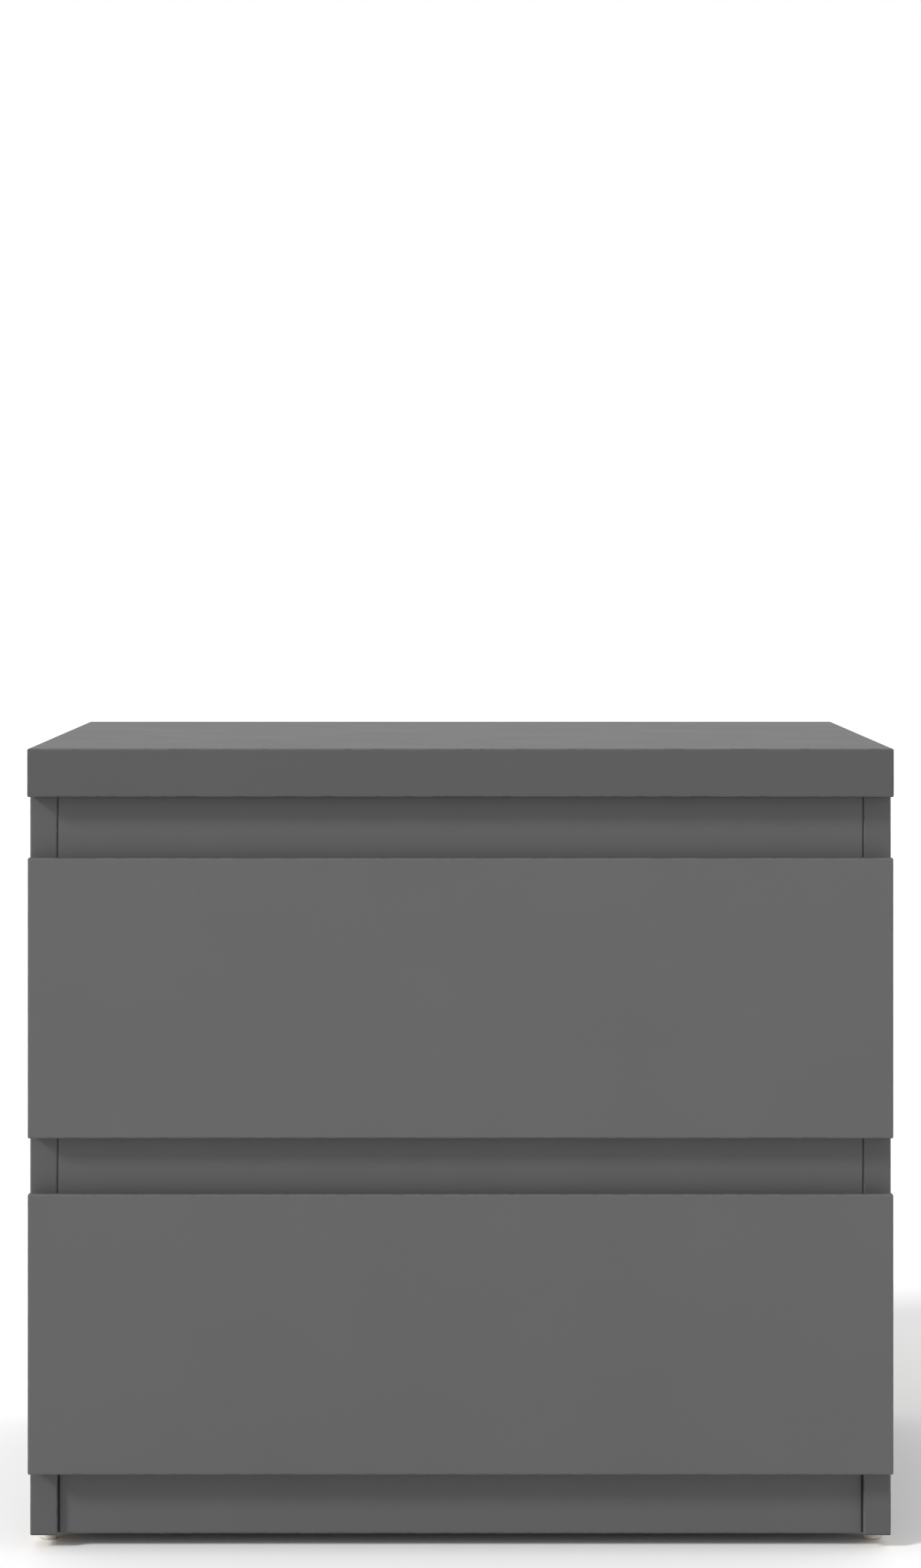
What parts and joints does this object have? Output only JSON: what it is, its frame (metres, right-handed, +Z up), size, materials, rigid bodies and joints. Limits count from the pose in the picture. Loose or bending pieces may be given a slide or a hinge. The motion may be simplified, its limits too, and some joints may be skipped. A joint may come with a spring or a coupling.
{
  "type": "nightstand",
  "caption": "Low handle-less nightstand with overlay drawer fronts, grip gaps with flush rails, a thick top and a recessed plinth; the drawers slide on roller runners.",
  "frame": {"origin": "on the floor, under the middle of the cabinet", "axes": "+Z up, -Y towards the drawer fronts, +X to the right seen from the front"},
  "size_m": [0.5, 0.4, 0.466],
  "materials": {
    "carcass_graphite": "matt graphite melamine on chipboard, with matching plastic edging",
    "front_graphite": "matt graphite foil on fibreboard",
    "drawer_board": "light grey foil on chipboard",
    "drawer_bottom_board": "light grey lacquered hardboard",
    "back_board": "grey printed hardboard",
    "glide_plastic": "moulded cream polyethylene",
    "beech": "fluted beech",
    "zinc_steel": "bright zinc-plated steel",
    "zinc_casting": "die-cast zinc alloy, as cast",
    "roller_nylon": "white nylon",
    "runner_steel": "epoxy-coated steel sheet, off-white"
  },
  "bodies": {
    "carcass": {"top_panel": "carcass_graphite", "left_side": "carcass_graphite", "right_side": "carcass_graphite", "top_rail": "carcass_graphite", "middle_rail": "carcass_graphite", "plinth": "carcass_graphite", "rear_top_rail": "carcass_graphite", "rear_bottom_rail": "carcass_graphite", "back_panel": "back_board", "front_left_glide": "glide_plastic", "front_right_glide": "glide_plastic", "rear_left_glide": "glide_plastic", "rear_right_glide": "glide_plastic", "carcass_cam_locks": "zinc_casting", "carcass_bolts": "zinc_steel", "carcass_dowels": "beech", "back_nails": "zinc_steel", "cabinet_runner_upper_left": "runner_steel", "cabinet_runner_upper_right": "runner_steel", "cabinet_runner_lower_left": "runner_steel", "cabinet_runner_lower_right": "runner_steel", "cabinet_runner_screws": "zinc_steel", "cabinet_roller_pins": "zinc_steel"},
    "upper_drawer": {"upper_front": "front_graphite", "upper_box_left": "drawer_board", "upper_box_right": "drawer_board", "upper_box_back": "drawer_board", "upper_box_floor": "drawer_bottom_board", "upper_cam_locks": "zinc_casting", "upper_bolts": "zinc_steel", "upper_dowels": "beech", "upper_corner_screws": "zinc_steel", "upper_drawer_runner_left": "runner_steel", "upper_drawer_runner_right": "runner_steel", "upper_runner_screws": "zinc_steel", "upper_roller_pins": "zinc_steel"},
    "lower_drawer": {"lower_front": "front_graphite", "lower_box_left": "drawer_board", "lower_box_right": "drawer_board", "lower_box_back": "drawer_board", "lower_box_floor": "drawer_bottom_board", "lower_cam_locks": "zinc_casting", "lower_bolts": "zinc_steel", "lower_dowels": "beech", "lower_corner_screws": "zinc_steel", "lower_drawer_runner_left": "runner_steel", "lower_drawer_runner_right": "runner_steel", "lower_runner_screws": "zinc_steel", "lower_roller_pins": "zinc_steel"},
    "cabinet_roller_upper_left": {"cabinet_roller_upper_left": "roller_nylon"},
    "upper_drawer_roller_left": {"upper_drawer_roller_left": "roller_nylon"},
    "cabinet_roller_upper_right": {"cabinet_roller_upper_right": "roller_nylon"},
    "upper_drawer_roller_right": {"upper_drawer_roller_right": "roller_nylon"},
    "cabinet_roller_lower_left": {"cabinet_roller_lower_left": "roller_nylon"},
    "lower_drawer_roller_left": {"lower_drawer_roller_left": "roller_nylon"},
    "cabinet_roller_lower_right": {"cabinet_roller_lower_right": "roller_nylon"},
    "lower_drawer_roller_right": {"lower_drawer_roller_right": "roller_nylon"}
  },
  "joints": [
    {"name": "upper_drawer_slide", "type": "slide", "parent": "carcass", "child": "upper_drawer", "axis": [0, -1, 0], "range_m": [0, 0.26]},
    {"name": "lower_drawer_slide", "type": "slide", "parent": "carcass", "child": "lower_drawer", "axis": [0, -1, 0], "range_m": [0, 0.26]},
    {"name": "cabinet_roller_upper_left_spin", "type": "hinge", "parent": "carcass", "child": "cabinet_roller_upper_left", "pos_m": [-0.2287, -0.17, 0.2635], "axis": [1, 0, 0], "continuous": true},
    {"name": "upper_drawer_roller_left_spin", "type": "hinge", "parent": "upper_drawer", "child": "upper_drawer_roller_left", "pos_m": [-0.2268, 0.156, 0.2613], "axis": [1, 0, 0], "continuous": true},
    {"name": "cabinet_roller_upper_right_spin", "type": "hinge", "parent": "carcass", "child": "cabinet_roller_upper_right", "pos_m": [0.2287, -0.17, 0.2635], "axis": [1, 0, 0], "continuous": true},
    {"name": "upper_drawer_roller_right_spin", "type": "hinge", "parent": "upper_drawer", "child": "upper_drawer_roller_right", "pos_m": [0.2268, 0.156, 0.2613], "axis": [1, 0, 0], "continuous": true},
    {"name": "cabinet_roller_lower_left_spin", "type": "hinge", "parent": "carcass", "child": "cabinet_roller_lower_left", "pos_m": [-0.2287, -0.17, 0.0695], "axis": [1, 0, 0], "continuous": true},
    {"name": "lower_drawer_roller_left_spin", "type": "hinge", "parent": "lower_drawer", "child": "lower_drawer_roller_left", "pos_m": [-0.2268, 0.156, 0.0673], "axis": [1, 0, 0], "continuous": true},
    {"name": "cabinet_roller_lower_right_spin", "type": "hinge", "parent": "carcass", "child": "cabinet_roller_lower_right", "pos_m": [0.2287, -0.17, 0.0695], "axis": [1, 0, 0], "continuous": true},
    {"name": "lower_drawer_roller_right_spin", "type": "hinge", "parent": "lower_drawer", "child": "lower_drawer_roller_right", "pos_m": [0.2268, 0.156, 0.0673], "axis": [1, 0, 0], "continuous": true}
  ],
  "couplings": [
    {"joint": "cabinet_roller_upper_left_spin", "follows": "upper_drawer_slide", "rad_per_m": 125},
    {"joint": "upper_drawer_roller_left_spin", "follows": "upper_drawer_slide", "rad_per_m": 125},
    {"joint": "cabinet_roller_upper_right_spin", "follows": "upper_drawer_slide", "rad_per_m": 125},
    {"joint": "upper_drawer_roller_right_spin", "follows": "upper_drawer_slide", "rad_per_m": 125},
    {"joint": "cabinet_roller_lower_left_spin", "follows": "lower_drawer_slide", "rad_per_m": 125},
    {"joint": "lower_drawer_roller_left_spin", "follows": "lower_drawer_slide", "rad_per_m": 125},
    {"joint": "cabinet_roller_lower_right_spin", "follows": "lower_drawer_slide", "rad_per_m": 125},
    {"joint": "lower_drawer_roller_right_spin", "follows": "lower_drawer_slide", "rad_per_m": 125}
  ]
}
